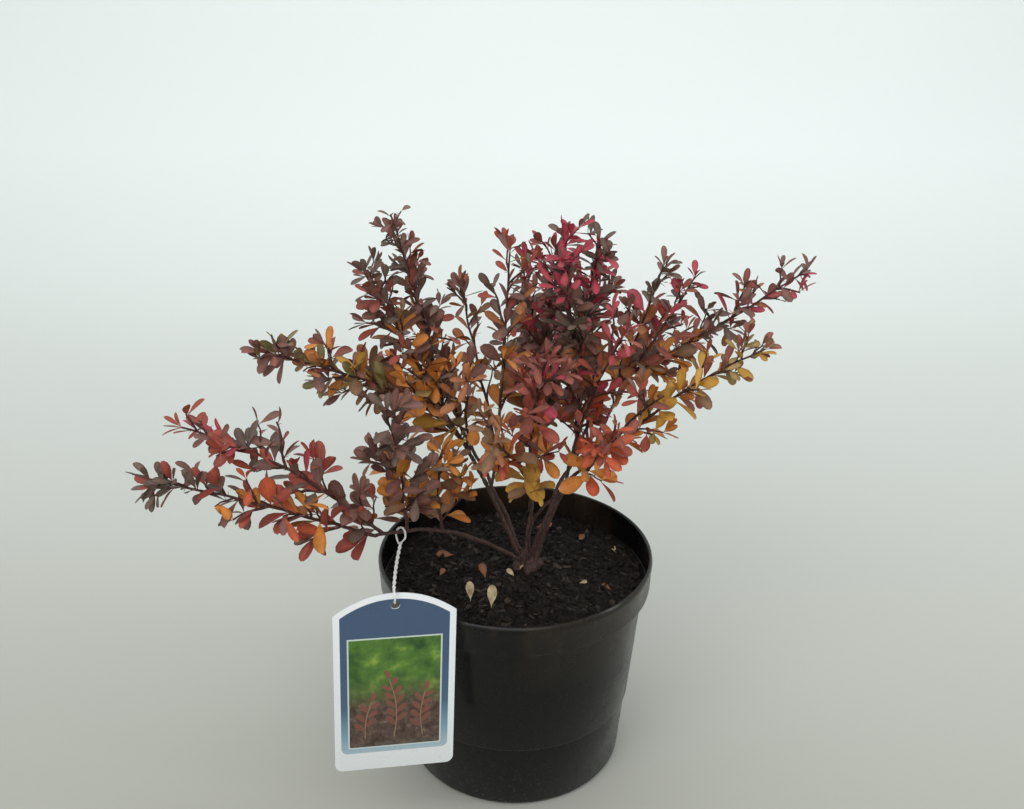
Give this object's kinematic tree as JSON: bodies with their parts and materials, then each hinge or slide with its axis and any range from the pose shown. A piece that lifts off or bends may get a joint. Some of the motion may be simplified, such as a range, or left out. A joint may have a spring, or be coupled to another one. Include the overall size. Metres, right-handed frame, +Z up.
{
  "type": "potted dwarf barberry shrub",
  "caption": "Dwarf barberry in autumn leaf, its arching stems spreading from a low crown in a round nursery pot filled with soil, with a hanging label tied to one stem.",
  "frame": {"origin": "centre of the pot's flat underside, on the surface that it stands on", "axes": "+Z up, +X to the right and +Y away from someone who faces the label's side of the pot, as in the picture"},
  "size_m": [0.4066, 0.2907, 0.3933],
  "materials": {
    "pot_plastic": "black moulded plastic, satin gloss, lightly scuffed",
    "potting_soil": "moist dark peat with bark crumbs",
    "stem_bark": "matt red-brown bark with fine grooves",
    "leaf_plum": "dull purple leaf",
    "leaf_maroon": "dark red leaf",
    "leaf_crimson": "crimson leaf",
    "leaf_russet": "red-brown leaf",
    "leaf_orange": "orange-red leaf",
    "leaf_ochre": "ochre leaf",
    "leaf_olive": "olive-brown leaf",
    "label_card": "thin white plastic card with a printed panel",
    "tie_plastic": "white twisted plastic tie"
  },
  "bodies": {
    "root": {"pot": "pot_plastic", "soil": "potting_soil", "root_crown": "stem_bark", "stem_low_left": "stem_bark", "stem_mid_left": "stem_bark", "stem_front": "stem_bark", "stem_right": "stem_bark", "stem_rear_left": "stem_bark", "stem_rear": "stem_bark", "stem_rear_right": "stem_bark", "bough_centre_left": "stem_bark", "bough_right_low": "stem_bark", "bough_centre_right": "stem_bark", "bough_right_high": "stem_bark", "bough_front_right": "stem_bark", "foliage_low_left_outer": "leaf_maroon", "foliage_low_left_upper": "leaf_maroon", "foliage_left_upright": "leaf_plum", "foliage_left_inner": "leaf_ochre", "foliage_mid_left_top": "leaf_maroon", "foliage_mid_left_tall": "leaf_olive", "foliage_mid_left_arm": "leaf_olive", "foliage_mid_left_inner": "leaf_ochre", "foliage_mid_left_rear": "leaf_olive", "foliage_centre_left": "leaf_russet", "foliage_centre_left_side": "leaf_ochre", "foliage_front_top": "leaf_russet", "foliage_front_low": "leaf_orange", "foliage_front_right": "leaf_orange", "foliage_right_low_outer": "leaf_olive", "foliage_right_low_inner": "leaf_crimson", "foliage_right_high_outer": "leaf_crimson", "foliage_right_upright_outer": "leaf_maroon", "foliage_right_upright_inner": "leaf_crimson", "foliage_right_rear": "leaf_maroon", "foliage_centre_top": "leaf_crimson", "foliage_centre_right": "leaf_plum", "foliage_centre_mid": "leaf_maroon", "foliage_centre_rear": "leaf_plum", "foliage_rear_left": "leaf_russet", "foliage_rear_left_low": "leaf_ochre", "foliage_rear_top": "leaf_plum", "foliage_rear_low": "leaf_maroon", "foliage_rear_right": "leaf_orange", "foliage_rear_right_top": "leaf_russet", "label": "label_card", "label_tie": "tie_plastic"}
  },
  "joints": []
}
